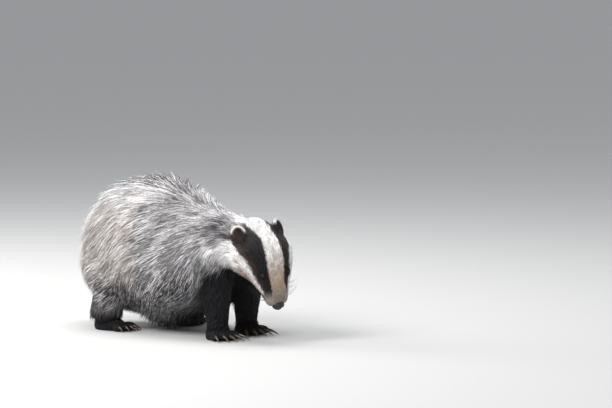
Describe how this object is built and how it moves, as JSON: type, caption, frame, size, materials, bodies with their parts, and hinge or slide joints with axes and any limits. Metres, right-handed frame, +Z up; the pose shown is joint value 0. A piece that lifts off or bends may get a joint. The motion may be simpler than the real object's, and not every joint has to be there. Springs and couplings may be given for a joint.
{
  "type": "european badger model",
  "caption": "Life-size European badger in its long winter coat, standing with an arched back and its head lowered to sniff the ground.",
  "frame": {"origin": "on the floor under the middle of the whole animal's box", "axes": "+X ahead, from the rump to the head, +Y to the animal's left, +Z up"},
  "size_m": [0.5656, 0.2752, 0.3043],
  "materials": {
    "grey_coat": "long coarse guard hair, pale with a dark band and a silver tip",
    "white_fur": "short white fur with the black stripes of the face",
    "dark_fur": "short black fur of legs and feet",
    "nose_leather": "dark moist nose leather",
    "claw": "worn dark horn",
    "eye": "glossy black eye"
  },
  "bodies": {
    "root": {"torso": "grey_coat", "neck": "grey_coat", "tail": "grey_coat", "head": "white_fur", "jaw": "white_fur", "ear_left": "white_fur", "ear_right": "white_fur", "nose": "nose_leather", "eye_left": "eye", "eye_right": "eye", "foreleg_left": "dark_fur", "foreleg_right": "dark_fur", "hindleg_left": "dark_fur", "hindleg_right": "dark_fur", "forepaw_left": "dark_fur", "forepaw_right": "dark_fur", "hindpaw_left": "dark_fur", "hindpaw_right": "dark_fur", "claw_fore_left_1": "claw", "claw_fore_left_2": "claw", "claw_fore_left_3": "claw", "claw_fore_left_4": "claw", "claw_fore_left_5": "claw", "claw_fore_right_1": "claw", "claw_fore_right_2": "claw", "claw_fore_right_3": "claw", "claw_fore_right_4": "claw", "claw_fore_right_5": "claw", "claw_hind_left_1": "claw", "claw_hind_left_2": "claw", "claw_hind_left_3": "claw", "claw_hind_left_4": "claw", "claw_hind_left_5": "claw", "claw_hind_right_1": "claw", "claw_hind_right_2": "claw", "claw_hind_right_3": "claw", "claw_hind_right_4": "claw", "claw_hind_right_5": "claw"}
  },
  "joints": []
}
